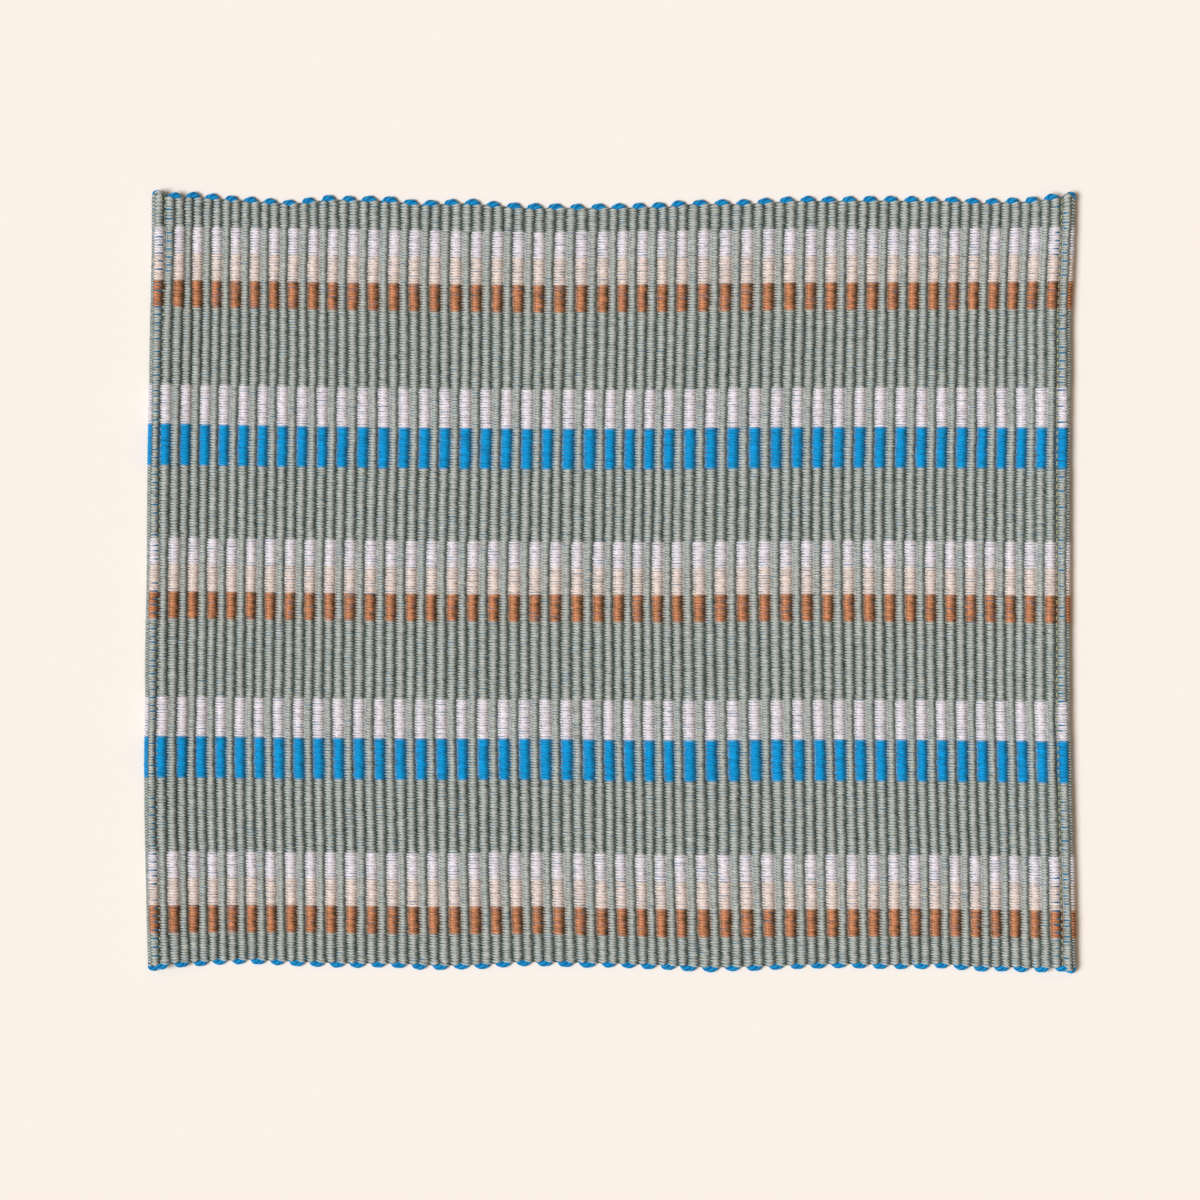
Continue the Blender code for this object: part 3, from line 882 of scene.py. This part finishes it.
class PLACEMAT_OT_turns(bpy.types.Operator):
    """Turn the blue weft back along the far and near edges"""

    bl_idname = "placemat.turns"
    bl_label = "Turn the Weft"

    def execute(self, context):
        scene = context.scene
        rng = np.random.default_rng(3)
        material = weft_cotton(scene.placemat_colours)
        for name, far_side in (("weft_turns_far", True), ("weft_turns_near", False)):
            pairs = [pair for pair in turn_pairs() if pair[2] == far_side]
            tubes = [twisted_turn(rng, scene.placemat_weft, *pair) for pair in pairs]
            wear(make_tubes(name, tubes), material)
        return {"FINISHED"}


class PLACEMAT_OT_sewing(bpy.types.Operator):
    """Sew the two hems, with a line of stitches on the face and one on the underside"""

    bl_idname = "placemat.sewing"
    bl_label = "Sew the Hems"

    def execute(self, context):
        scene = context.scene
        sewing = scene.placemat_sewing
        rng = np.random.default_rng(5)
        material = sewing_thread(scene.placemat_colours)
        for name, rib in (("hem_seam_left", 2), ("hem_seam_right", RIBS)):
            slant = rng.normal(0, STITCH_UNEVEN, STITCHES) + STITCH_SLANT
            far, near = (float(look_up(table, place_x(rib, 0.0))) for table in (FAR_EDGE, NEAR_EDGE))
            middle = (far + near) / 2 + ((STITCHES - 1) / 2 - np.arange(STITCHES)) * NEEDLE_STEP
            points = np.repeat(model_stitch(sewing)[None], STITCHES, axis=0)
            points[..., 0] += points[..., 1] * slant[:, None, None]
            points[..., 1] += middle[:, None, None]
            x, z = on_groove(rib, 0.0, scene.placemat_cloth.groove - SEAM_SINK[rib], points[..., 1])
            points[..., 0] += x
            points[..., 2] += z + sewing.stand - THREAD_SINK[rib]
            under = points.copy()
            height = points[..., 2] - z + THREAD_SINK[rib]
            under[..., 2] = np.maximum(CREST / 2 - scene.placemat_cloth.groove - height, UNDER_CLEAR)
            tubes = [(tube, np.zeros(tube.shape[:2])) for tube in (*points, *under)]
            wear(make_tubes(name, tubes, closed=True), material)
        return {"FINISHED"}


class PLACEMAT_OT_stage(bpy.types.Operator):
    """Set the floor, the soft light from the left and the camera straight above"""

    bl_idname = "placemat.stage"
    bl_label = "Set the Stage"

    def execute(self, context):
        scene, stage = context.scene, context.scene.placemat_stage
        bpy.ops.object.select_all(action="DESELECT")
        bpy.ops.mesh.primitive_plane_add(size=FLOOR_SIZE, location=(0, 0, 0))
        floor = context.object
        floor.name = "floor"
        floor.data.materials.append(studio_board(tuple(stage.floor)))
        bpy.ops.object.light_add(type="SUN", location=KEY_PLACE)
        key = context.object
        key.data.energy, key.data.angle = stage.key, math.radians(KEY_SPREAD)
        key.data.color = stage.lamp[:3]
        key.rotation_euler = Vector(KEY_FROM).to_track_quat("Z", "Y").to_euler()
        world = bpy.data.worlds.new("studio")
        world.use_nodes = True
        world.node_tree.nodes["Background"].inputs["Color"].default_value = stage.sky
        world.node_tree.nodes["Background"].inputs["Strength"].default_value = stage.fill
        scene.world = world
        lens = bpy.data.cameras.new("camera")
        lens.lens, lens.sensor_width = stage.lens, SENSOR
        camera = bpy.data.objects.new("camera", lens)
        scene.collection.objects.link(camera)
        distance = VIEW_WIDTH * stage.lens / lens.sensor_width
        camera.location = (VIEW_X * MM, VIEW_Y * MM, (distance + CREST) * MM)
        scene.camera = camera
        scene.view_settings.view_transform = "Standard"
        return {"FINISHED"}


class PLACEMAT_PT_panel(bpy.types.Panel):
    """Lists the steps and the settings of the placemat"""

    bl_idname = "PLACEMAT_PT_panel"
    bl_label = "Ribbed Placemat"
    bl_space_type = "VIEW_3D"
    bl_region_type = "UI"
    bl_category = "Placemat"

    def draw(self, context):
        layout = self.layout
        for operator in OPERATORS:
            layout.operator(operator.bl_idname)
        for group in SETTINGS:
            box = layout.box()
            settings = getattr(context.scene, group)
            for name in settings.bl_rna.properties.keys():
                if name not in ("rna_type", "name"):
                    box.prop(settings, name)


SETTINGS = {
    "placemat_cloth": PlacematCloth,
    "placemat_weft": PlacematWeft,
    "placemat_sewing": PlacematSewing,
    "placemat_colours": PlacematColours,
    "placemat_stage": PlacematStage,
}
OPERATORS = (
    PLACEMAT_OT_stage,
    PLACEMAT_OT_face,
    PLACEMAT_OT_back,
    PLACEMAT_OT_turns,
    PLACEMAT_OT_sewing,
)


def register():
    for group in (*SETTINGS.values(), *OPERATORS, PLACEMAT_PT_panel):
        bpy.utils.register_class(group)
    for name, group in SETTINGS.items():
        setattr(bpy.types.Scene, name, bpy.props.PointerProperty(type=group))


def unregister():
    for name in SETTINGS:
        delattr(bpy.types.Scene, name)
    for group in (PLACEMAT_PT_panel, *OPERATORS, *SETTINGS.values()):
        bpy.utils.unregister_class(group)


def plain(box):
    return [[float(value) for value in corner] for corner in box]


def main():
    register()
    bpy.ops.placemat.stage()
    bpy.ops.placemat.face()
    bpy.ops.placemat.back()
    bpy.ops.placemat.turns()
    bpy.ops.placemat.sewing()


if __name__ == "__main__":
    main()
